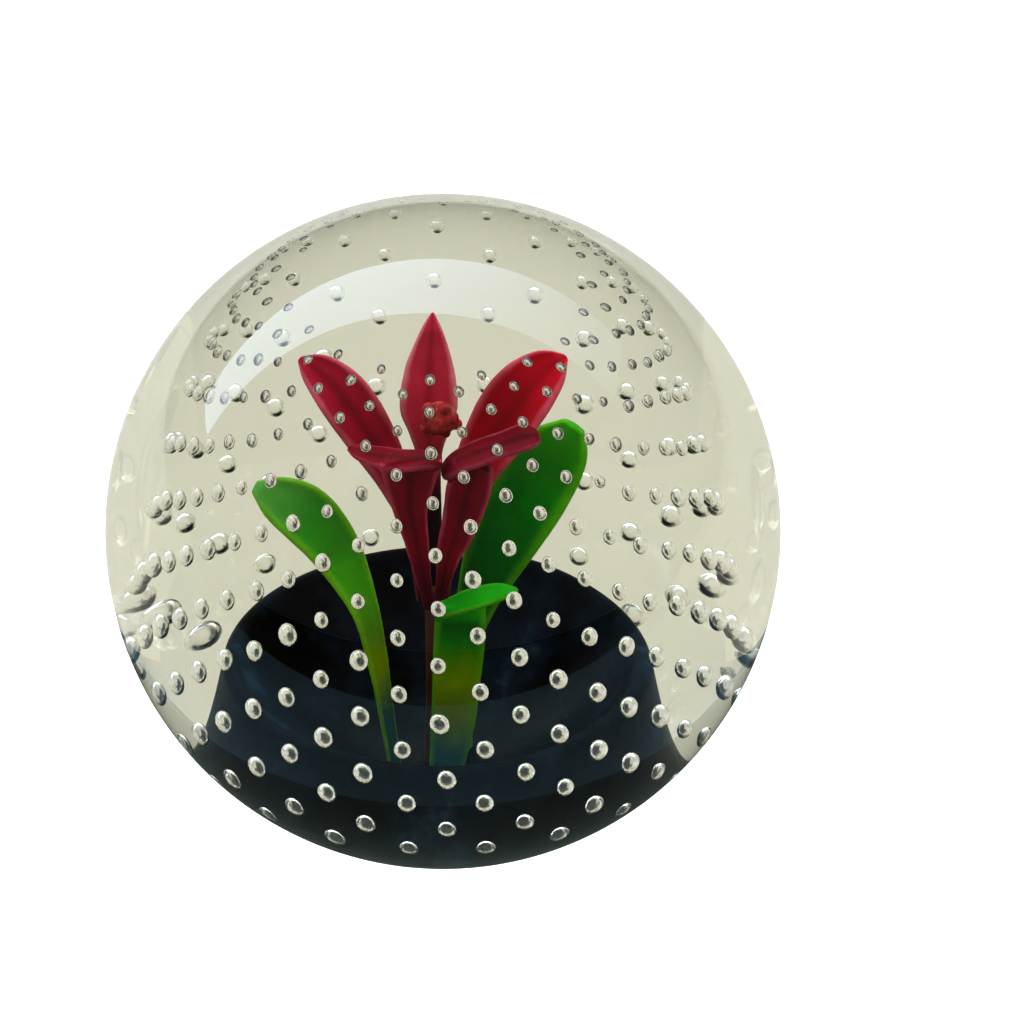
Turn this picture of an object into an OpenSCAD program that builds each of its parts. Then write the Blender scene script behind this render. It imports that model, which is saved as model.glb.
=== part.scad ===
// Glass paperweight: a clear ball on a flat foot, with a flower on a dark ground and a net of air bubbles.
// The origin is the centre of the flat foot, +Z is up, -Y is the front of the flower.

/* [Glass ball] */
// Diameter of the glass ball; everything inside keeps its proportion to it
ball_d = 80; // [50:1:110]
// Height of the ball's centre above the flat foot, as a share of its radius
centre_share = 0.8; // [0.74:0.01:0.86]
// Radius of the barrel-shaped inner gather at its waist, as a share of the ball's radius
gather_share = 0.572; // [0.55:0.002:0.6]

/* [Air bubbles] */
// Bubbles in each ring
ring_count = 19; // [10:1:22]
// Highest ring number, counted from the foot
ring_last = 19; // [8:1:20]
// Radius of a bubble
bubble_r = 0.9; // [0.5:0.05:1]
// Slope of the columns of bubbles, degrees of turn for each millimetre of height
swirl = 0.13; // [0:0.01:0.4]

/* [Ground] */
// Radius of the dark ground
ground_r = 16.3; // [14:0.1:17]
// Height of the ground's rim above the foot
ground_h = 18.8; // [16:0.1:20]
// Depth of the dish in its top
dish = 7.5; // [4:0.1:8]
// Rounding of the rim
rim_round = 0.9; // [0.6:0.1:2]

/* [Flower] */
// How far the flower's axis stands to the left of the ball's axis
off_axis = 0.8; // [0:0.1:1.5]
// Thickness of a petal
petal_t = 1.0; // [0.7:0.05:1.4]
// Length of a back petal
petal_l = 24.8; // [22:0.2:26]
// Width of a back petal
petal_w = 5; // [4.4:0.1:6]
// Radius of the stem
stem_r = 0.5; // [0.4:0.05:0.9]
// Thickness of a leaf
leaf_t = 1.0; // [0.7:0.05:1.4]

/* [Hidden] */
$fn = 96;
nominal_r = 40;
fit = ball_d / 2 / nominal_r;
centre_z = nominal_r * centre_share;
gather_r = nominal_r * gather_share;
dome_r = 35.2;
barrel_r = 140;
barrel_z = -3;
dome_depth = 0.4;
first_dome_ring = 17;
dish_z = ground_h - dish;
ground_off = 0.4;
flower_z = centre_z - 7;
clear_glass = [0.86, 0.90, 0.87, 0.35];
crimson = [0.62, 0.05, 0.16];
leaf_green = [0.10, 0.42, 0.08];

// Height of a ring of bubbles over the ball's centre: even steps up the barrel, then over the dome
function ring_z(k) =
  k < first_dome_ring
    ? -20.3 + 3.06 * k + 0.0284 * k * k - 0.0022 * k * k * k
    : (dome_r - dome_depth) * sin(57 + 3.5 * (k - first_dome_ring));
// Bubbles shrink towards the top
function ring_bubble(k) = bubble_r * (1 - 0.4 * max(0, ring_z(k)) / 30);
// Radius of the barrel at a height over the ball's centre
function barrel(z) = gather_r - barrel_r + sqrt(pow(barrel_r, 2) - pow(z - barrel_z, 2));
// Distance of a ring's bubbles from the axis: each one stands out of the gather's skin by a quarter
function ring_radius(k) =
  k < first_dome_ring
    ? barrel(ring_z(k)) - 0.72 * ring_bubble(k)
    : sqrt(pow(dome_r - dome_depth, 2) - pow(ring_z(k), 2));

// The ball, cut off flat at the foot
module ball() {
  rotate_extrude()
    intersection() {
      translate([0, centre_z]) circle(r = nominal_r);
      square([nominal_r + 1, centre_z + nominal_r + 1]);
    }
}

// Inner gather: a tall barrel closed by a dome that follows the ball
module gather_form() {
  rotate_extrude()
    intersection() {
      polygon([[0, 0],
               for (i = [0:9]) [barrel(i * 7.5 - centre_z), i * 7.5],
               [0, 67.5]]);
      translate([0, centre_z]) circle(r = dome_r);
    }
}

// Every bubble in its ring, each ring turned half a step against the one below
module bubbles() {
  for (k = [0:ring_last])
    for (i = [0:ring_count - 1])
      rotate([0, 0, -90 - swirl * ring_z(k) + (i + (k + 1) % 2 / 2) * 360 / ring_count])
        translate([ring_radius(k), 0, centre_z + ring_z(k)])
          rotate([0, 0, 180])
            sphere(r = ring_bubble(k), $fn = 24);
}

// Straight-sided plug with a rounded rim and a dished top
module ground_body() {
  dish_r = (pow(ground_r - rim_round, 2) + dish * dish) / (2 * dish);
  translate([-ground_off, 0, 0])
    difference() {
      union() {
        cylinder(r = ground_r, h = ground_h - rim_round);
        cylinder(r = ground_r - rim_round, h = ground_h);
        translate([0, 0, ground_h - rim_round])
          rotate_extrude()
            translate([ground_r - rim_round, 0])
              intersection() {
                circle(r = rim_round, $fn = 48);
                square(rim_round + 1);
              }
      }
      translate([0, 0, dish_z + dish_r]) sphere(r = dish_r);
    }
}

// Flat outline pointed at both ends: two arcs that cross
module lens(l, w) {
  arc_r = (l * l / 4 + w * w / 4) / w;
  translate([0, l / 2])
    intersection() {
      translate([arc_r - w / 2, 0]) circle(r = arc_r);
      translate([w / 2 - arc_r, 0]) circle(r = arc_r);
    }
}

// Outline that widens from a narrow foot and is pointed at the tip; waist is where the taper ends
module tapered(l, w, foot_w, waist) {
  translate([0, 2 * waist - l]) lens(2 * (l - waist), w);
  polygon([[-foot_w / 2, 0], [foot_w / 2, 0], [w / 2, waist], [-w / 2, waist]]);
}

// Curved sheet of glass that starts at the origin, rises along +Z and bends over towards +X
module sheet(bend, t, reach) {
  intersection() {
    translate([bend, 0, 0])
      difference() {
        sphere(r = bend + t / 2);
        sphere(r = bend - t / 2);
      }
    translate([-t, 0, 0])
      rotate([90, 0, 90])
        linear_extrude(height = reach + t)
          intersection() {
            children();
            translate([-reach, 0]) square([2 * reach, bend]);
          }
  }
}

// Places a sheet on the flower: foot at x, y, z, bending towards the azimuth; tilt leans it that
// way, lean tips it sideways in its own plane
module place(foot, azimuth, tilt, lean = 0) {
  translate([foot[0] - off_axis, foot[1], foot[2]])
    rotate([0, 0, azimuth])
      rotate([0, tilt, 0])
        rotate([lean, 0, 0])
          children();
}

module stem_body() {
  translate([-off_axis, 0, dish_z - 1])
    cylinder(r = stem_r, h = flower_z - dish_z + 1.5, $fn = 32);
  translate([-off_axis, 0, flower_z + 0.5])
    sphere(r = stem_r + 0.5, $fn = 32);
}

module back_centre_body() {
  place([0, 1.0, flower_z], 90, 6, -1)
    sheet(90, petal_t, 8) tapered(petal_l * 1.03, petal_w, 1.4, petal_l * 0.62);
}

module back_left_body() {
  place([-1.1, 0.6, flower_z], 139, 7, -7.5)
    sheet(36, petal_t, 13) tapered(petal_l * 0.905, petal_w * 0.92, 1.4, petal_l * 0.62);
}

module back_right_body() {
  place([1.1, 0.6, flower_z], 41, 7, 7)
    sheet(36, petal_t, 13) tapered(petal_l * 0.905, petal_w * 1.04, 1.4, petal_l * 0.62);
}

// Front petal: a blade that widens upwards, and a tongue rolled out to one side along its top
module front_body(side, top_w, lean, lip_x, lip_l, lip_rise) {
  place([side * 1.05, -0.9, flower_z], -90, 2, lean)
    sheet(70, petal_t, 6) tapered(19.6, top_w, 1.2, 16);
  place([lip_x, -2.7, flower_z + 16.7], -90 + side * 80, 88 - lip_rise)
    sheet(30, petal_t, 4) tapered(lip_l, 3, 2.6, 4);
}

module front_left_body() {
  front_body(-1, 4.8, 2.5, 0.1, 7.8, 6);
}

module front_right_body() {
  front_body(1, 4.2, -6, 0.6, 9, 27);
}

module leaf_left_body() {
  place([-2.6, -0.2, dish_z - 0.6], 142, -2, -6)
    sheet(25, leaf_t, 16) {
      translate([-0.6, 0]) square([1.2, 10]);
      translate([0, 8]) tapered(13.2, 5.4, 1.2, 7.5);
    }
}

// Broad leaf: a narrow stalk, then a blade that leans to the right
module leaf_right_body() {
  place([1.8, 1.6, dish_z - 0.6], 90, 1, 5)
    sheet(80, leaf_t, 4) translate([-0.8, 0]) square([1.6, 13]);
  place([2.4, 1.6, centre_z - 11], 84, 6, 24)
    sheet(80, leaf_t, 6) tapered(20, 7.2, 2, 11);
}

// Strap leaf whose top folds over sideways
module leaf_front_body() {
  place([2.15, -1.8, dish_z - 0.9], -90, -2)
    sheet(70, leaf_t, 10) translate([-2, 0]) square([4, 16.8]);
  place([0.3, -2.0, dish_z + 14.6], -14, 62)
    sheet(24, leaf_t, 4) tapered(7.4, 3.2, 2.6, 3);
}

module pistil_body() {
  translate([0.5 - off_axis, 1.3, flower_z + 17.9]) {
    sphere(r = 1.6, $fn = 32);
    for (i = [0:5])
      rotate([0, 90, 90])
        rotate([0, 0, i * 60])
          translate([1.35, 0, -0.35 + 0.1 * i])
            sphere(r = 0.72, $fn = 24);
  }
}

// Everything the inner gather closes round
module flower_and_leaves() {
  stem_body();
  back_centre_body();
  back_left_body();
  back_right_body();
  front_left_body();
  front_right_body();
  pistil_body();
  leaf_left_body();
  leaf_right_body();
  leaf_front_body();
}

module outer_casing() {
  color(clear_glass)
    scale(fit)
      difference() {
        ball();
        gather_form();
        ground_body();
      }
}

module inner_gather() {
  color(clear_glass)
    scale(fit)
      difference() {
        gather_form();
        bubbles();
        ground_body();
        flower_and_leaves();
      }
}

module ground() {
  color([0.02, 0.02, 0.03])
    scale(fit)
      difference() {
        ground_body();
        stem_body();
        leaf_left_body();
        leaf_right_body();
        leaf_front_body();
      }
}

module stem() {
  color([0.20, 0.10, 0.06])
    scale(fit)
      stem_body();
}

module petal_back_centre() {
  color(crimson)
    scale(fit)
      difference() {
        back_centre_body();
        stem_body();
      }
}

module petal_back_left() {
  color(crimson)
    scale(fit)
      difference() {
        back_left_body();
        stem_body();
        back_centre_body();
      }
}

module petal_back_right() {
  color(crimson)
    scale(fit)
      difference() {
        back_right_body();
        stem_body();
        back_centre_body();
        back_left_body();
      }
}

module petal_front_left() {
  color(crimson)
    scale(fit)
      difference() {
        front_left_body();
        stem_body();
        back_centre_body();
        back_left_body();
        back_right_body();
      }
}

module petal_front_right() {
  color(crimson)
    scale(fit)
      difference() {
        front_right_body();
        stem_body();
        back_centre_body();
        back_left_body();
        back_right_body();
        front_left_body();
      }
}

module pistil() {
  color([0.75, 0.22, 0.18])
    scale(fit)
      difference() {
        pistil_body();
        back_centre_body();
      }
}

module leaf_left() {
  color(leaf_green)
    scale(fit)
      difference() {
        leaf_left_body();
        stem_body();
      }
}

module leaf_right() {
  color(leaf_green)
    scale(fit)
      difference() {
        leaf_right_body();
        stem_body();
        front_right_body();
      }
}

module leaf_front() {
  color(leaf_green)
    scale(fit)
      difference() {
        leaf_front_body();
        stem_body();
        leaf_left_body();
        leaf_right_body();
      }
}

outer_casing();
inner_gather();
ground();
stem();
petal_back_centre();
petal_back_left();
petal_back_right();
petal_front_left();
petal_front_right();
pistil();
leaf_left();
leaf_right();
leaf_front();
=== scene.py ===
"""Looks of a glass paperweight: a clear ball, a net of air bubbles, and a red flower on a dark ground."""

import math

import bpy
import numpy as np
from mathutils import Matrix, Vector, noise
from mathutils.kdtree import KDTree


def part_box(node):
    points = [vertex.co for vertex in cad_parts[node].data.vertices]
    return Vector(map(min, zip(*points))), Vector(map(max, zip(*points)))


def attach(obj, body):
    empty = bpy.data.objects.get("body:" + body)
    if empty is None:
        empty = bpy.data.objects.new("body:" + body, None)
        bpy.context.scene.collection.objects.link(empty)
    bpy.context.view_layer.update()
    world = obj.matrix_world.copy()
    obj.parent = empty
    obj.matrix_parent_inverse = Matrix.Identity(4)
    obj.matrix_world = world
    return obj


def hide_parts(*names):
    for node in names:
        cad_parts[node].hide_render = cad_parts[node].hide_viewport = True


MM = 0.001
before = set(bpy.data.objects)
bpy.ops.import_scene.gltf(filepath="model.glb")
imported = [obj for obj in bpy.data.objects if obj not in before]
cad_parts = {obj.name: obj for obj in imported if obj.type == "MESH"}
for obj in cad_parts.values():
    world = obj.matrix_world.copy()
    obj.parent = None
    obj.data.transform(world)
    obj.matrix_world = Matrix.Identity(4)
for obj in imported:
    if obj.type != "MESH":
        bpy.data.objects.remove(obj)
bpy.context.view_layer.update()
SCENE = bpy.context.scene


# ---------------------------------------------------------------- sizes taken from the CAD parts
casing_lo, casing_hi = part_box("outer_casing")
gather_lo, gather_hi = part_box("inner_gather")
ground_lo, ground_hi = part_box("ground")
BALL_R = (casing_hi.x - casing_lo.x) / 2
NOMINAL_R = 0.040
UNIT = BALL_R / NOMINAL_R


def mm(size):
    """Millimetres on a ball of nominal size, as metres on this one."""
    return size * MM * UNIT


CENTRE = Vector((0, 0, casing_hi.z - BALL_R))
WAIST_R = (gather_hi.x - gather_lo.x) / 2 - mm(0.6)
DOME_R = gather_hi.z - CENTRE.z - mm(0.4)
FOOT_R = math.sqrt(BALL_R**2 - CENTRE.z**2)
AXIS_X = (ground_lo.x + ground_hi.x) / 2
GROUND_R = (ground_hi.x - ground_lo.x) / 2
GROUND_H = ground_hi.z


def at(node, fx, fy, fz):
    """The point of a CAD node's box at these shares of its sides."""
    lo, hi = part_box(node)
    return np.array([low + share * (high - low) for low, high, share in zip(lo, hi, (fx, fy, fz))])


# ---------------------------------------------------------------- meshes
def add_mesh(name, verts, faces, smooth=True):
    mesh = bpy.data.meshes.new(name)
    mesh.from_pydata([tuple(v) for v in verts], [], [tuple(f) for f in faces])
    mesh.validate()
    mesh.update()
    if smooth:
        mesh.polygons.foreach_set("use_smooth", [True] * len(mesh.polygons))
    obj = bpy.data.objects.new(name, mesh)
    SCENE.collection.objects.link(obj)
    return obj


def store(mesh, name, values):
    layer = mesh.attributes.get(name) or mesh.attributes.new(name, "FLOAT", "POINT")
    layer.data.foreach_set("value", np.asarray(values, np.float32))


def spline(rows, count):
    """Smooth curve through the rows, whatever each row holds."""
    rows = np.asarray(rows, float)
    step = np.linalg.norm(np.diff(rows[:, :3], axis=0), axis=1) ** 0.5
    knots = np.concatenate([[0], np.cumsum(step)])
    padded = np.vstack([2 * rows[0] - rows[1], rows, 2 * rows[-1] - rows[-2]])
    places = np.linspace(0, knots[-1], count)
    out = []
    for place in places:
        k = min(max(int(np.searchsorted(knots, place, side="right")) - 1, 0), len(rows) - 2)
        u = (place - knots[k]) / (knots[k + 1] - knots[k])
        a, b, c, d = padded[k : k + 4]
        square = 2 * a - 5 * b + 4 * c - d
        cube = 3 * b - a - 3 * c + d
        out.append(0.5 * (2 * b + (c - a) * u + square * u * u + cube * u**3))
    return np.array(out)


def blade(rows, face, thick, rim, stations=52, around=40):
    """Closed leaf-like body. A row is a point, then half the width and the cup of the section there."""
    curve = spline(rows, stations)
    spots, half, cup = curve[:, :3], np.maximum(curve[:, 3], 0.06 * MM), curve[:, 4]
    tangent = np.gradient(spots, axis=0)
    tangent /= np.linalg.norm(tangent, axis=1)[:, None]
    across = np.cross(tangent, np.asarray(face, float))
    across /= np.linalg.norm(across, axis=1)[:, None]
    normal = np.cross(across, tangent)
    verts, side, along = [], [], []
    for i in range(stations):
        t = i / (stations - 1)
        for j in range(around):
            a = 2 * math.pi * j / around
            u = math.cos(a)
            top = math.copysign(abs(math.sin(a)) ** 0.8, math.sin(a))
            depth = min(thick, 1.3 * half[i]) / 2
            swell = 1 + rim * math.exp(-(((abs(u) - 0.86) / 0.16) ** 2)) * (1 if top > 0 else 0.4)
            lift = cup[i] * half[i] * u * u + depth * top * swell
            verts.append(spots[i] + across[i] * half[i] * u + normal[i] * lift)
            side.append(u)
            along.append(t)
    faces = []
    for i in range(stations - 1):
        for j in range(around):
            k = (j + 1) % around
            faces.append((i * around + j, i * around + k, (i + 1) * around + k, (i + 1) * around + j))
    faces.append(tuple(range(around - 1, -1, -1)))
    faces.append(tuple((stations - 1) * around + j for j in range(around)))
    return np.array(verts), faces, side, along


def fuse(name, bodies, voxel=0.13, relax=6, lump=0.05, seed=0.0):
    """Melts overlapping bodies into one, as hot glass does, and keeps each point's place on its blade."""
    verts, faces, side, along = [], [], [], []
    for v, f, s, a in bodies:
        faces += [tuple(i + len(verts) for i in face) for face in f]
        verts += list(v)
        side += list(s)
        along += list(a)
    obj = add_mesh(name, verts, faces)
    tree = KDTree(len(verts))
    for i, v in enumerate(verts):
        tree.insert(Vector(v), i)
    tree.balance()
    remesh = obj.modifiers.new("melt", "REMESH")
    remesh.mode = "VOXEL"
    remesh.voxel_size = mm(voxel)
    relaxed = obj.modifiers.new("relax", "SMOOTH")
    relaxed.factor = 0.5
    relaxed.iterations = relax
    depsgraph = bpy.context.evaluated_depsgraph_get()
    mesh = bpy.data.meshes.new_from_object(obj.evaluated_get(depsgraph))
    obj.modifiers.clear()
    obj.data = mesh
    mesh.name = name
    shift = Vector((seed, seed * 1.7, -seed))
    points = [v.co.copy() for v in mesh.vertices]
    normals = [v.normal.copy() for v in mesh.vertices]
    near = [tree.find_n(p, 4) for p in points]
    for v, p, n in zip(mesh.vertices, points, normals):
        swell = noise.noise(p * (260 / UNIT) + shift) + 0.4 * noise.noise(p * (700 / UNIT) + shift)
        v.co = p + n * swell * mm(lump)

    def carried(values):
        out = []
        for found in near:
            weight = [1 / (d + 1e-6) for _, _, d in found]
            out.append(sum(values[i] * w for (_, i, _), w in zip(found, weight)) / sum(weight))
        return out

    store(mesh, "side", carried(side))
    store(mesh, "along", carried(along))
    mesh.polygons.foreach_set("use_smooth", [True] * len(mesh.polygons))
    mesh.update()
    return obj


def spun(profile, count, centre_x=0.0):
    """Surface of revolution about the upright axis through centre_x; profile runs from pole to pole."""
    verts, faces = [], []
    rings = []
    for r, z in profile:
        if r < 1e-9:
            rings.append([len(verts)])
            verts.append((centre_x, 0, z))
        else:
            rings.append(list(range(len(verts), len(verts) + count)))
            for j in range(count):
                a = 2 * math.pi * j / count
                verts.append((centre_x + r * math.cos(a), r * math.sin(a), z))
    for low, high in zip(rings, rings[1:]):
        for j in range(count):
            k = (j + 1) % count
            if len(low) == 1:
                faces.append((low[0], high[k], high[j]))
            elif len(high) == 1:
                faces.append((low[j], low[k], high[0]))
            else:
                faces.append((low[j], low[k], high[k], high[j]))
    return verts, faces


# ---------------------------------------------------------------- node materials
class Paint:
    """A material's nodes, added one by one."""

    def __init__(self, name):
        self.material = bpy.data.materials.new(name)
        self.material.use_nodes = True
        self.tree = self.material.node_tree
        self.tree.nodes.clear()

    def node(self, kind, **values):
        made = self.tree.nodes.new(kind)
        for key, value in values.items():
            setattr(made, key, value)
        return made

    def link(self, a, b):
        self.tree.links.new(a, b)

    def attribute(self, name):
        made = self.node("ShaderNodeAttribute")
        made.attribute_name = name
        return made.outputs["Fac"]

    def maths(self, operation, a, b=None):
        made = self.node("ShaderNodeMath", operation=operation)
        for socket, value in zip(made.inputs, (a, b)):
            if value is None:
                continue
            if isinstance(value, (int, float)):
                socket.default_value = value
            else:
                self.link(value, socket)
        return made.outputs[0]

    def ramp(self, source, stops, smooth=True):
        made = self.node("ShaderNodeValToRGB")
        ramp = made.color_ramp
        ramp.interpolation = "EASE" if smooth else "LINEAR"
        while len(ramp.elements) < len(stops):
            ramp.elements.new(0.5)
        for element, (place, colour) in zip(ramp.elements, stops):
            element.position = place
            element.color = (*colour, 1)
        self.link(source, made.inputs[0])
        return made.outputs[0]

    def grain(self, scale, detail, rough, stretch=(1, 1, 1), shift=(0, 0, 0)):
        where = self.node("ShaderNodeTexCoord")
        mapping = self.node("ShaderNodeMapping")
        mapping.inputs["Scale"].default_value = stretch
        mapping.inputs["Location"].default_value = shift
        self.link(where.outputs["Object"], mapping.inputs["Vector"])
        made = self.node("ShaderNodeTexNoise")
        made.inputs["Scale"].default_value = scale / UNIT
        made.inputs["Detail"].default_value = detail
        made.inputs["Roughness"].default_value = rough
        self.link(mapping.outputs[0], made.inputs["Vector"])
        return made.outputs[0]

    def mix(self, share, a, b, blend="MIX"):
        made = self.node("ShaderNodeMix", data_type="RGBA", blend_type=blend)
        for socket, value in ((made.inputs[0], share), (made.inputs[6], a), (made.inputs[7], b)):
            if isinstance(value, (int, float)):
                socket.default_value = value
            elif isinstance(value, tuple):
                socket.default_value = (*value, 1)
            else:
                self.link(value, socket)
        return made.outputs[2]

    def finish(self, colour, roughness, bump, bump_depth, ior):
        """Glossy surface of this colour, raised by the bump to bump_depth in mm."""
        shader = self.node("ShaderNodeBsdfPrincipled")
        self.link(colour, shader.inputs["Base Color"])
        if isinstance(roughness, (int, float)):
            shader.inputs["Roughness"].default_value = roughness
        else:
            self.link(roughness, shader.inputs["Roughness"])
        shader.inputs["IOR"].default_value = ior
        raised = self.node("ShaderNodeBump")
        raised.inputs["Strength"].default_value = 0.6
        raised.inputs["Distance"].default_value = mm(bump_depth)
        self.link(bump, raised.inputs["Height"])
        self.link(raised.outputs[0], shader.inputs["Normal"])
        out = self.node("ShaderNodeOutputMaterial")
        self.link(shader.outputs[0], out.inputs["Surface"])
        return self.material


def clear_glass():
    p = Paint("clear glass")
    shader = p.node("ShaderNodeBsdfPrincipled")
    shader.inputs["Base Color"].default_value = (1, 1, 1, 1)
    shader.inputs["Transmission Weight"].default_value = 1.0
    shader.inputs["IOR"].default_value = 1.5
    dust = p.ramp(p.grain(900, 5, 0.6), [(0.55, (0.0, 0.0, 0.0)), (0.8, (0.012, 0.012, 0.012))])
    haze = p.maths("MULTIPLY", p.attribute("air"), 0.22)
    p.link(p.maths("ADD", dust, haze), shader.inputs["Roughness"])
    open_way = p.node("ShaderNodeBsdfTransparent")
    open_way.inputs["Color"].default_value = (0.93, 0.93, 0.91, 1)
    path = p.node("ShaderNodeLightPath")
    mixed = p.node("ShaderNodeMixShader")
    p.link(path.outputs["Is Shadow Ray"], mixed.inputs[0])
    p.link(shader.outputs[0], mixed.inputs[1])
    p.link(open_way.outputs[0], mixed.inputs[2])
    volume = p.node("ShaderNodeVolumeAbsorption")
    volume.inputs["Color"].default_value = (0.70, 0.68, 0.50, 1)
    volume.inputs["Density"].default_value = 8.0 / UNIT
    out = p.node("ShaderNodeOutputMaterial")
    p.link(mixed.outputs[0], out.inputs["Surface"])
    p.link(volume.outputs[0], out.inputs["Volume"])
    return p.material


def petal_glass(name, deep, body, edge, foot_shade, shade_reach=0.45):
    """Deep along the midrib, pale at the rims; painted shade darkens its foot by the given factor, up to
    the given share of its length.
    """
    p = Paint(name)
    across = p.maths("ABSOLUTE", p.attribute("side"))
    veins = p.grain(420, 5, 0.6, (1, 1, 0.25))
    wander = p.maths("ADD", across, p.maths("MULTIPLY", p.maths("SUBTRACT", veins, 0.5), 0.35))
    colour = p.ramp(wander, [(0.0, deep), (0.35, body), (0.7, body), (0.98, edge)])
    clouds = p.ramp(p.grain(150, 3, 0.5), [(0.35, (0.66, 0.6, 0.6)), (0.65, (1.0, 1.0, 1.0))])
    colour = p.mix(1.0, colour, clouds, "MULTIPLY")
    # painted shade: the petal's foot, down in the flower's heart, is darkened
    foot = p.ramp(p.attribute("along"), [(shade_reach - 0.45, (foot_shade,) * 3), (shade_reach, (1.0, 1.0, 1.0))])
    colour = p.mix(1.0, colour, foot, "MULTIPLY")
    return p.finish(colour, 0.42, bump=veins, bump_depth=0.12, ior=1.13)


def leaf_glass(name, stops, edge):
    """The stops colour the leaf from its foot to its tip."""
    p = Paint(name)
    streaks = p.grain(500, 5, 0.6, (1, 1, 0.15))
    wander = p.maths("MULTIPLY", p.maths("SUBTRACT", streaks, 0.5), 0.1)
    place = p.maths("ADD", p.attribute("along"), wander)
    colour = p.ramp(place, stops, smooth=False)
    across = p.maths("ABSOLUTE", p.attribute("side"))
    rim = p.ramp(across, [(0.62, (0, 0, 0)), (0.97, (0.7, 0.7, 0.7))])
    colour = p.mix(rim, colour, edge)
    clouds = p.ramp(p.grain(170, 3, 0.5), [(0.35, (0.68, 0.72, 0.68)), (0.65, (1.0, 1.0, 1.0))])
    colour = p.mix(1.0, colour, clouds, "MULTIPLY")
    return p.finish(colour, 0.42, bump=streaks, bump_depth=0.1, ior=1.13)


def stem_glass():
    p = Paint("brown stem glass")
    turns = p.grain(300, 5, 0.6, (1, 1, 0.1))
    browns = [(0.3, (0.02, 0.008, 0.006)), (0.55, (0.085, 0.03, 0.02)), (0.75, (0.18, 0.07, 0.045))]
    colour = p.ramp(turns, browns)
    return p.finish(colour, 0.4, bump=turns, bump_depth=0.08, ior=1.15)


def pistil_glass():
    p = Paint("coral glass")
    lumps = p.grain(900, 4, 0.6)
    corals = [(0.3, (0.12, 0.004, 0.005)), (0.52, (0.27, 0.012, 0.013)), (0.75, (0.46, 0.08, 0.06))]
    colour = p.ramp(lumps, corals)
    return p.finish(colour, 0.38, bump=lumps, bump_depth=0.3, ior=1.25)


def ground_glass():
    p = Paint("black ground glass")
    clouds = p.grain(95, 5, 0.62, (1, 1, 0.8), (0.3, 0.1, 0.2))
    black = (0.0003, 0.0003, 0.0005)
    # painted reflection: the navy clouds over the black stand for the bright room reflected in the
    # ground's dished top
    colour = p.ramp(clouds, [(0.46, black), (0.56, (0.0018, 0.004, 0.008)), (0.68, (0.010, 0.024, 0.042))])
    fine = p.grain(700, 4, 0.6)
    speck = p.ramp(fine, [(0.62, (0, 0, 0)), (0.8, (0.4, 0.4, 0.4))])
    colour = p.mix(speck, colour, (0.004, 0.005, 0.009))
    rough = p.ramp(clouds, [(0.3, (0.25, 0.25, 0.25)), (0.7, (0.5, 0.5, 0.5))])
    return p.finish(colour, rough, bump=fine, bump_depth=0.05, ior=1.06)


# ---------------------------------------------------------------- the glass ball
def glass_ball():
    """The ball's outside: flat foot, a small fillet in a few steps, then the round up to the top."""
    flat_r = FOOT_R * 0.97
    foot_steps, fillet_steps, rows = 18, 3, 120
    start = math.asin(-CENTRE.z / BALL_R) + mm(0.5) / BALL_R
    edge_r, edge_z = BALL_R * math.cos(start), CENTRE.z + BALL_R * math.sin(start)
    profile = [(flat_r * k / foot_steps, 0.0) for k in range(foot_steps + 1)]
    for k in range(fillet_steps):
        turn = (k + 1) / (fillet_steps + 1) * math.pi / 2
        profile.append((flat_r + (edge_r - flat_r) * math.sin(turn), edge_z * (1 - math.cos(turn))))
    for k in range(rows):
        lat = start + (math.pi / 2 - start) * k / rows
        profile.append((BALL_R * math.cos(lat), CENTRE.z + BALL_R * math.sin(lat)))
    profile.append((0.0, CENTRE.z + BALL_R))
    verts, faces = spun(profile, 192)
    return [Vector(v) for v in verts], faces


RINGS = 20
PER_RING = 19
FIRST_DOME_RING = 17


def ring_height(k):
    """Height of a ring over the ball's centre: up the barrel of the gather, then over its dome."""
    if k < FIRST_DOME_RING:
        return mm(-20.3 + 3.06 * k + 0.0284 * k * k - 0.0022 * k**3)
    return DOME_R * math.sin(math.radians(57 + 3.5 * (k - FIRST_DOME_RING)))


def ring_radius(z):
    """Radius of the gather's skin at a height over the ball's centre."""
    long_r, waist_z = mm(140), mm(-3)
    barrel = WAIST_R - long_r + math.sqrt(long_r**2 - (z - waist_z) ** 2)
    return min(barrel, math.sqrt(max(DOME_R**2 - z * z, 0)))


def air(verts, faces, middle, up, out, wide, tall, deep, seed):
    """Closed round shell whose faces look into the air."""
    right = up.cross(out).normalized()
    first = len(verts)
    rows, count = 9, 14
    verts.append(middle + up * tall)
    for i in range(1, rows):
        polar = math.pi * i / rows
        for j in range(count):
            a = 2 * math.pi * j / count
            bulge = 1 + 0.04 * math.sin(3 * a + seed) * math.sin(polar)
            verts.append(
                middle
                + up * tall * math.cos(polar)
                + right * wide * math.sin(polar) * math.cos(a) * bulge
                + out * deep * math.sin(polar) * math.sin(a) * bulge
            )
    verts.append(middle - up * tall)
    last = len(verts) - 1

    def ring(i, j):
        return first + 1 + (i - 1) * count + j % count

    made = []
    for j in range(count):
        made.append((first, ring(1, j), ring(1, j + 1)))
        made.append((last, ring(rows - 1, j + 1), ring(rows - 1, j)))
        for i in range(1, rows - 1):
            made.append((ring(i, j), ring(i + 1, j), ring(i + 1, j + 1), ring(i, j + 1)))
    a, b, c = (verts[i] for i in made[0])
    if (b - a).cross(c - a).dot((a + b + c) / 3 - middle) > 0:
        made = [tuple(reversed(f)) for f in made]
    faces.extend(made)


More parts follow.
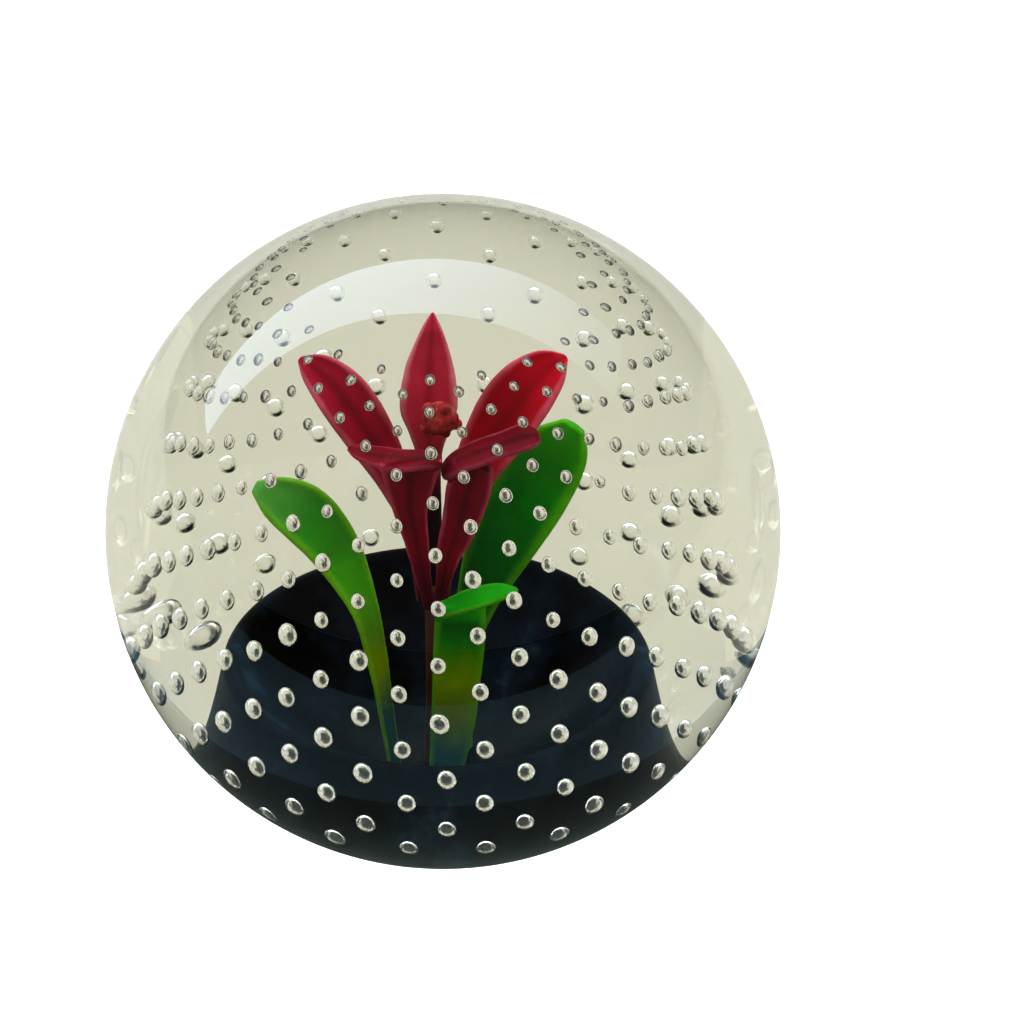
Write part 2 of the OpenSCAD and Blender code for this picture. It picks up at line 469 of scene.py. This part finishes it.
def bubble(verts, faces, lon, z, wide, tall, deep, slant, seed):
    """One bubble of the net, standing along the skin of the gather."""
    step = mm(0.3)
    here, above = ring_radius(z), ring_radius(z + step)
    out = Vector((math.cos(lon), math.sin(lon), 0))
    east = Vector((-math.sin(lon), math.cos(lon), 0))
    middle = CENTRE + out * here + Vector((mm(-0.5), 0, z))
    north = (out * (above - here) + Vector((0, 0, step))).normalized()
    up = (north * math.cos(slant) + east * math.sin(slant)).normalized()
    air(verts, faces, middle, up, east.cross(north), wide, tall, deep, seed)


def glass_body():
    """The ball with its net of bubbles, each ring turned half a step from the one below."""
    verts, faces = glass_ball()
    skin = len(verts)
    random = np.random.default_rng(7)
    for k in range(RINGS):
        z = ring_height(k)
        size = 1 - 0.4 * max(0, z) / mm(30) + 0.14 * max(0, -z) / mm(20)
        for i in range(PER_RING):
            jitter = random.normal(0, 1, 6)
            turn = (i + (k + 1) % 2 / 2) * 360 / PER_RING
            lon = -89.5 - 0.1 * z / mm(1) + turn + 0.3 * jitter[0]
            grown = size * (1 + 0.06 * jitter[1])
            back = max(0, math.sin(math.radians(lon)))
            bubble(
                verts,
                faces,
                math.radians(lon),
                z + mm(0.12 * jitter[2]),
                mm(0.82 - 0.20 * back) * grown,
                mm(1.02 - 0.44 * back) * grown,
                mm(0.74 - 0.22 * back) * grown,
                math.radians(-10 + 4 * jitter[3]),
                jitter[4],
            )
    obj = add_mesh("glass_body", verts, faces)
    store(obj.data, "air", [0.0] * skin + [1.0] * (len(verts) - skin))
    return obj


# ---------------------------------------------------------------- the flower
def rows_of(node, table):
    """Rows of shares of the node's box, half width in mm and cup, as rows for blade()."""
    return [(*at(node, x, y, z), mm(w), cup) for x, y, z, w, cup in table]


def petal_back_centre(n):
    rows = rows_of(n, [
        (0.55, 0.10, 0.00, 0.7, 0.2), (0.51, 0.16, 0.25, 0.9, 0.3), (0.49, 0.30, 0.48, 1.0, 0.3),
        (0.485, 0.39, 0.58, 1.55, 0.3), (0.48, 0.49, 0.68, 2.4, 0.3), (0.49, 0.62, 0.81, 2.1, 0.3),
        (0.52, 0.76, 0.92, 1.15, 0.25), (0.54, 0.88, 1.00, 0.1, 0.1),
    ])
    return fuse(n + "_melted", [blade(rows, (0, -1, 0.35), mm(1.15), rim=0.5)], seed=1.3)


def petal_back_side(n):
    """The left petal, or the right one, which mirrors it and is wider."""
    side = -1 if n == "petal_back_left" else 1
    wide = 1.12 if side < 0 else 1.35
    table = [
        (0.97, 0.16, 0.00, 0.4, 0.2), (0.90, 0.27, 0.28, 0.7, 0.3), (0.74, 0.42, 0.52, 1.4 * wide, 0.3),
        (0.52, 0.56, 0.72, 2.05 * wide, 0.35), (0.32, 0.72, 0.86, 2.1 * wide, 0.35),
        (0.14, 0.88, 0.95, 1.4 * wide, 0.3), (0.02, 0.97, 0.99, 0.25, 0.1),
    ]
    if side > 0:
        table = [(1 - x, *rest) for x, *rest in table]
    rows = rows_of(n, table)
    face = (-0.55 * side, -0.75, 0.45)
    return fuse(n + "_melted", [blade(rows, face, mm(1.2), rim=0.5)], seed=2.1 + side)


def petal_front_left(n):
    rows = rows_of(n, [
        (0.89, 0.90, 0.00, 0.35, 0.2), (0.83, 0.80, 0.18, 0.65, 0.25), (0.76, 0.67, 0.39, 1.0, 0.3),
        (0.69, 0.56, 0.59, 1.45, 0.35), (0.68, 0.45, 0.77, 2.15, 0.35), (0.68, 0.34, 0.92, 2.75, 0.3),
    ])
    lip = rows_of(n, [
        (1.01, 0.32, 0.885, 0.5, 0.0), (0.83, 0.31, 0.89, 0.9, 0.2), (0.59, 0.32, 0.88, 1.1, 0.25),
        (0.35, 0.39, 0.89, 1.05, 0.25), (0.16, 0.45, 0.91, 0.75, 0.2), (0.05, 0.50, 0.93, 0.25, 0.1),
    ])
    return fuse(n + "_melted", [
        blade(rows, (0.1, -1, 0.1), mm(1.1), rim=0.45),
        blade(lip, (0, -0.3, 1), mm(1.05), rim=0.4),
    ], seed=3.7)


def petal_front_right(n):
    rows = rows_of(n, [
        (0.00, 0.90, 0.00, 0.35, 0.2), (0.06, 0.80, 0.15, 0.6, 0.25), (0.11, 0.72, 0.30, 1.0, 0.3),
        (0.22, 0.61, 0.49, 1.55, 0.35), (0.30, 0.47, 0.69, 1.9, 0.35), (0.36, 0.37, 0.84, 1.75, 0.3),
    ])
    lip = rows_of(n, [
        (0.07, 0.39, 0.77, 0.7, 0.0), (0.19, 0.34, 0.83, 1.1, 0.2), (0.39, 0.33, 0.88, 1.3, 0.25),
        (0.64, 0.39, 0.92, 1.25, 0.3), (0.86, 0.45, 0.95, 1.25, 0.3), (0.98, 0.50, 0.95, 0.5, 0.1),
    ])
    return fuse(n + "_melted", [
        blade(rows, (-0.1, -1, 0.1), mm(1.1), rim=0.45),
        blade(lip, (0.1, -0.3, 1), mm(1.1), rim=0.4),
    ], seed=4.9)


def leaf_left(n):
    rows = rows_of(n, [
        (0.94, 0.12, 0.00, 0.5, 0.0), (0.87, 0.14, 0.20, 0.6, 0.1), (0.80, 0.20, 0.40, 0.8, 0.2),
        (0.69, 0.32, 0.62, 1.2, 0.3), (0.50, 0.50, 0.815, 2.1, 0.3), (0.29, 0.68, 0.94, 2.45, 0.25),
        (0.09, 0.80, 1.00, 1.8, 0.2), (-0.05, 0.88, 1.03, 0.5, 0.1),
    ])
    return fuse(n + "_melted", [blade(rows, (0.4, -0.75, 0.5), mm(1.15), rim=0.4)], seed=5.2)


def leaf_right(n):
    rows = rows_of(n, [
        (0.10, 0.12, 0.00, 0.8, 0.0), (0.13, 0.16, 0.28, 0.9, 0.1), (0.24, 0.28, 0.47, 1.7, 0.2),
        (0.45, 0.46, 0.66, 2.85, 0.3), (0.68, 0.64, 0.82, 3.2, 0.3), (0.87, 0.80, 0.93, 2.6, 0.25),
        (0.97, 0.92, 0.99, 1.0, 0.1),
    ])
    return fuse(n + "_melted", [blade(rows, (-0.3, -1, 0.35), mm(1.2), rim=0.4)], seed=6.4)


def leaf_front(n):
    rows = rows_of(n, [
        (0.14, 0.65, 0.00, 1.1, 0.1), (0.23, 0.60, 0.28, 1.65, 0.15), (0.28, 0.48, 0.58, 1.95, 0.15),
        (0.31, 0.36, 0.80, 2.05, 0.15), (0.33, 0.30, 0.92, 2.0, 0.1),
    ])
    lip = rows_of(n, [
        (0.06, 0.34, 0.86, 0.5, 0.0), (0.25, 0.30, 0.90, 0.8, 0.3), (0.48, 0.32, 0.935, 0.95, 0.4),
        (0.73, 0.42, 0.955, 0.8, 0.3), (0.92, 0.50, 0.96, 0.25, 0.1),
    ])
    spread, faces, side, along = blade(lip, (0.15, -0.55, 1), mm(1.0), rim=0.3)
    fold = (spread, faces, side, [0.88 + 0.12 * a for a in along])
    return fuse(n + "_melted", [blade(rows, (0, -1, 0.05), mm(1.1), rim=0.3), fold], seed=7.7)


def stem():
    n = "stem"
    rows = [(*at(n, 0.5, 0.5, z), mm(w), 0.0) for z, w in
            ((0.0, 0.55), (0.3, 0.5), (0.6, 0.52), (0.85, 0.6), (0.95, 0.85), (0.995, 0.5))]
    rod = blade(rows, (0, -1, 0), mm(1.0), rim=0.0)
    return fuse(n + "_melted", [rod], voxel=0.1, lump=0.08, seed=8.1)


def bead(spot, r, rows, count, place):
    """Small ball of glass, as a body for fuse()."""
    arc = [math.pi * k / rows for k in range(rows + 1)]
    verts, faces = spun([(r * math.sin(a), spot[2] - r * math.cos(a)) for a in arc], count)
    return np.array(verts) + [spot[0], spot[1], 0], faces, [0.0] * len(verts), [place] * len(verts)


def pistil():
    """One bead with smaller ones melted onto its front in a spiral."""
    n = "pistil"
    lo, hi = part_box(n)
    middle = np.array((lo + hi) / 2)
    size = np.array(hi - lo) / 2
    random = np.random.default_rng(3)
    lumps = 15
    golden = 2.4
    bodies = []
    for i in range(lumps):
        turn = i * golden
        reach = 0.8 * (i / (lumps - 1)) ** 0.5
        shift = np.array([reach * math.cos(turn), -0.45 + 0.3 * reach, reach * math.sin(turn)])
        r = size[0] * random.uniform(0.2, 0.34)
        bodies.append(bead(middle + size * shift, r, 10, 16, i / (lumps - 1)))
    bodies.append(bead(middle, size[0] * 0.74, 12, 20, 0.5))
    return fuse(n + "_melted", bodies, voxel=0.1, relax=3, lump=0.1, seed=9.3)


def ground():
    """Plug that narrows upwards, with a soft rim and a dished top, just inside the ball's foot."""
    dish = at("ground", 0, 0, 1)[2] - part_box("stem")[0].z - mm(1.0)
    rim = mm(0.9)
    top_r = 0.965 * GROUND_R
    inner = top_r - rim
    dish_r = (inner**2 + dish**2) / (2 * dish)
    low = mm(0.5)
    under = 0.15 * MM
    profile = [(0.0, under), (GROUND_R * 0.5, under)]
    profile += [(GROUND_R - 0.3 * MM, under), (GROUND_R - 0.05 * MM, low)]
    for k in range(1, 12):
        profile.append((GROUND_R + (top_r - GROUND_R) * k / 12, low + (GROUND_H - rim - low) * k / 12))
    for k in range(9):
        a = math.pi / 2 * k / 8
        profile.append((inner + rim * math.cos(a), GROUND_H - rim + rim * math.sin(a)))
    for k in range(1, 25):
        a = math.asin(inner / dish_r) * (1 - k / 24)
        profile.append((dish_r * math.sin(a), GROUND_H - dish + dish_r * (1 - math.cos(a))))
    verts, faces = spun(profile, 128, AXIS_X)
    obj = add_mesh("ground_melted", verts, faces)
    for v in obj.data.vertices:
        if v.co.z > 1 * MM:
            wave = noise.noise(v.co * (90 / UNIT) + Vector((4, 2, 7)))
            v.co += v.normal * wave * mm(0.25)
    return obj


# ---------------------------------------------------------------- put together
# painted shade: the front pair's crimson is made darker than the back petals', for front faces turned away
# from the light above and behind
SHADED_FRONT_RED = dict(
    deep=(0.08, 0.0005, 0.004), body=(0.15, 0.001, 0.008), edge=(0.38, 0.035, 0.08), foot_shade=0.4)
PETALS = [
    (petal_back_centre, "petal_back_centre", "crimson glass, back", dict(
        deep=(0.40, 0.012, 0.03), body=(0.58, 0.025, 0.06), edge=(0.72, 0.18, 0.24),
        foot_shade=0.032, shade_reach=0.66)),
    (petal_back_side, "petal_back_left", "crimson glass, left", dict(
        deep=(0.18, 0.002, 0.012), body=(0.29, 0.005, 0.022), edge=(0.52, 0.08, 0.13), foot_shade=0.28)),
    (petal_back_side, "petal_back_right", "crimson glass, right", dict(
        deep=(0.28, 0.001, 0.006), body=(0.40, 0.001, 0.009), edge=(0.56, 0.07, 0.11), foot_shade=0.28)),
    (petal_front_left, "petal_front_left", "crimson glass, front left", SHADED_FRONT_RED),
    (petal_front_right, "petal_front_right", "crimson glass, front right", SHADED_FRONT_RED),
]
LEAVES = [
    (leaf_left, "leaf_left", "green glass, left", dict(stops=[
        (0.0, (0.006, 0.05, 0.05)), (0.18, (0.012, 0.08, 0.06)), (0.3, (0.16, 0.25, 0.003)),
        (0.5, (0.05, 0.32, 0.002)), (0.75, (0.03, 0.28, 0.012)), (1.0, (0.10, 0.38, 0.06)),
    ], edge=(0.20, 0.52, 0.01))),
    (leaf_right, "leaf_right", "green glass, right", dict(stops=[
        (0.0, (0.002, 0.07, 0.002)), (0.4, (0.001, 0.13, 0.001)), (0.7, (0.001, 0.20, 0.001)),
        (1.0, (0.03, 0.32, 0.002)),
    ], edge=(0.10, 0.42, 0.002))),
    (leaf_front, "leaf_front", "green glass, front", dict(stops=[
        (0.0, (0.006, 0.05, 0.07)), (0.16, (0.02, 0.11, 0.12)), (0.32, (0.14, 0.24, 0.02)),
        (0.5, (0.16, 0.27, 0.002)), (0.7, (0.01, 0.20, 0.001)), (0.84, (0.001, 0.10, 0.001)),
        (1.0, (0.01, 0.40, 0.003)),
    ], edge=(0.08, 0.36, 0.004))),
]


def dress(obj, nodes, material):
    """Gives a piece its material, says which body it rides, and hides the CAD nodes it replaces."""
    obj.data.materials.clear()
    obj.data.materials.append(material)
    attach(obj, "root")
    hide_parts(*nodes)


dress(glass_body(), ("outer_casing", "inner_gather"), clear_glass())
dress(ground(), ("ground",), ground_glass())
dress(stem(), ("stem",), stem_glass())
for make, n, name, colours in PETALS:
    dress(make(n), (n,), petal_glass(name, **colours))
dress(pistil(), ("pistil",), pistil_glass())
for make, n, name, colours in LEAVES:
    dress(make(n), (n,), leaf_glass(name, **colours))


# ---------------------------------------------------------------- floor, light, camera
def plain(name, colour, glow=0.0):
    """Matt sheet with faint clouds, which gives off some light of its own if glow says so."""
    p = Paint(name)
    soft = p.ramp(p.grain(6, 3, 0.5), [(0.3, tuple(c * 0.985 for c in colour)), (0.7, colour)])
    shader = p.node("ShaderNodeBsdfDiffuse")
    p.link(soft, shader.inputs["Color"])
    lit = p.node("ShaderNodeEmission")
    p.link(soft, lit.inputs["Color"])
    lit.inputs["Strength"].default_value = glow
    both = p.node("ShaderNodeAddShader")
    p.link(shader.outputs[0], both.inputs[0])
    p.link(lit.outputs[0], both.inputs[1])
    out = p.node("ShaderNodeOutputMaterial")
    p.link(both.outputs[0], out.inputs["Surface"])
    return p.material


def sheet_at(name, outline, height, material):
    corners = [(x, y, height) for x, y in outline]
    obj = add_mesh(name, corners, [tuple(range(len(corners)))], smooth=False)
    obj.data.materials.append(material)
    return obj


def hide_from(obj, *rays):
    for ray in rays:
        setattr(obj, "visible_" + ray, False)


def card(name, outline, height, colour):
    """Sheet that is seen only as a reflection in the glass."""
    obj = sheet_at(name, outline, height, plain(name.replace("_", " "), colour))
    hide_from(obj, "camera", "diffuse", "transmission", "shadow", "volume_scatter")


# the camera sees a pale floor, and the glass a beige table just under it
WIDE = [(-4, -4), (4, -4), (4, 4), (-4, 4)]
floor = sheet_at("floor", WIDE, -0.05 * MM, plain("pale floor", (0.90, 0.90, 0.89), glow=0.95))
hide_from(floor, "diffuse", "glossy", "transmission", "shadow")
table = sheet_at("table", WIDE, -0.06 * MM, plain("beige table", (0.71, 0.66, 0.53)))
hide_from(table, "camera")

# dark things round the ball, nearest first, whose reflections shade its lower half
FRONT, BEND, LEFT = -0.154, 0.057, (-0.6, -0.078)
UNDER_R = 0.052
turns = [math.pi * k / 24 for k in range(48)]
round_outline = [(UNDER_R * math.cos(a), UNDER_R * math.sin(a)) for a in turns]
card("apron", [
    LEFT, (BEND, FRONT), (0.3, FRONT), (0.3, -0.03), (0.07, -0.012),
    (0.04, 0.03), (-0.04, 0.03), (-0.07, -0.012), (LEFT[0], -0.03),
], 0.3 * MM, (0.10, 0.17, 0.20))
card("under_shade", round_outline, 0.5 * MM, (0.055, 0.068, 0.064))
card("dark_room", [
    (-3, -3), (3, -3), (3, FRONT), (BEND, FRONT), LEFT, (-3, LEFT[1]),
], 0.4 * MM, (0.0, 0.0, 0.0))


def area(name, spot, aim, size, power, colour, glossy=True):
    data = bpy.data.lights.new(name, "AREA")
    data.shape = "RECTANGLE"
    data.size, data.size_y = size
    data.energy = power
    data.color = colour
    obj = bpy.data.objects.new(name, data)
    SCENE.collection.objects.link(obj)
    obj.location = spot
    obj.rotation_euler = (Vector(aim) - Vector(spot)).to_track_quat("-Z", "Y").to_euler()
    obj.visible_glossy = glossy
    return obj


def fade_right(light):
    """Makes a light weaker towards its right end."""
    light.use_nodes = True
    nodes, links = light.node_tree.nodes, light.node_tree.links
    place = nodes.new("ShaderNodeNewGeometry")
    split = nodes.new("ShaderNodeSeparateXYZ")
    fade = nodes.new("ShaderNodeMapRange")
    fade.interpolation_type = "SMOOTHSTEP"
    for key, value in (("From Min", 0.62), ("From Max", 0.98), ("To Min", 1.08), ("To Max", 0.2)):
        fade.inputs[key].default_value = value
    links.new(place.outputs["Parametric"], split.inputs[0])
    links.new(split.outputs["X"], fade.inputs["Value"])
    links.new(fade.outputs["Result"], nodes["Emission"].inputs["Strength"])


# the strip is the bright crescent in the top of the ball
strip = area("strip light", (-0.75, 0.66, 0.8), (-0.75, 0.66, 0), (3.4, 0.52), 25, (0.62, 0.78, 1.0))
strip.rotation_euler = (0, 0, math.radians(-8))
fade_right(strip.data)
area("fill light", (0.2, 0.1, 1.6), (0, 0, 0), (2.4, 2.0), 30.5, (0.99, 0.96, 0.895), glossy=False)

world = bpy.data.worlds.new("studio")
SCENE.world = world
world.use_nodes = True
tree = world.node_tree
tree.nodes.clear()
ray = tree.nodes.new("ShaderNodeLightPath")


def shine(colour, strength):
    made = tree.nodes.new("ShaderNodeBackground")
    made.inputs["Color"].default_value = (*colour, 1)
    made.inputs["Strength"].default_value = strength
    return made.outputs[0]


def where(kind, other, wanted):
    """The wanted background for rays of this kind, and the other one for the rest."""
    made = tree.nodes.new("ShaderNodeMixShader")
    for socket, source in zip(made.inputs, (ray.outputs[kind], other, wanted)):
        tree.links.new(source, socket)
    return made.outputs[0]


# the room is dim as a light, but pale where it is looked at, straight or through the glass
dim = shine((0.9, 0.93, 1.0), 0.06)
through = where("Is Transmission Ray", dim, shine((0.66, 0.67, 0.57), 0.95))
seen = where("Is Camera Ray", through, shine((1.0, 1.0, 0.99), 0.95))
tree.links.new(seen, tree.nodes.new("ShaderNodeOutputWorld").inputs["Surface"])

camera_data = bpy.data.cameras.new("camera")
camera = bpy.data.objects.new("camera", camera_data)
SCENE.collection.objects.link(camera)
ELEVATION = math.radians(38)
AWAY = 6 * BALL_R
LENS = 70.3
SHIFT = (0.0674, 0.0189)
camera.location = CENTRE + Vector((0, -math.cos(ELEVATION), math.sin(ELEVATION))) * AWAY
camera.rotation_euler = (CENTRE - camera.location).to_track_quat("-Z", "Y").to_euler()
camera_data.sensor_width = 36
camera_data.lens = LENS
camera_data.shift_x, camera_data.shift_y = SHIFT
camera_data.clip_start = 0.01
camera_data.clip_end = 50
SCENE.camera = camera
SCENE.view_settings.view_transform = "Standard"
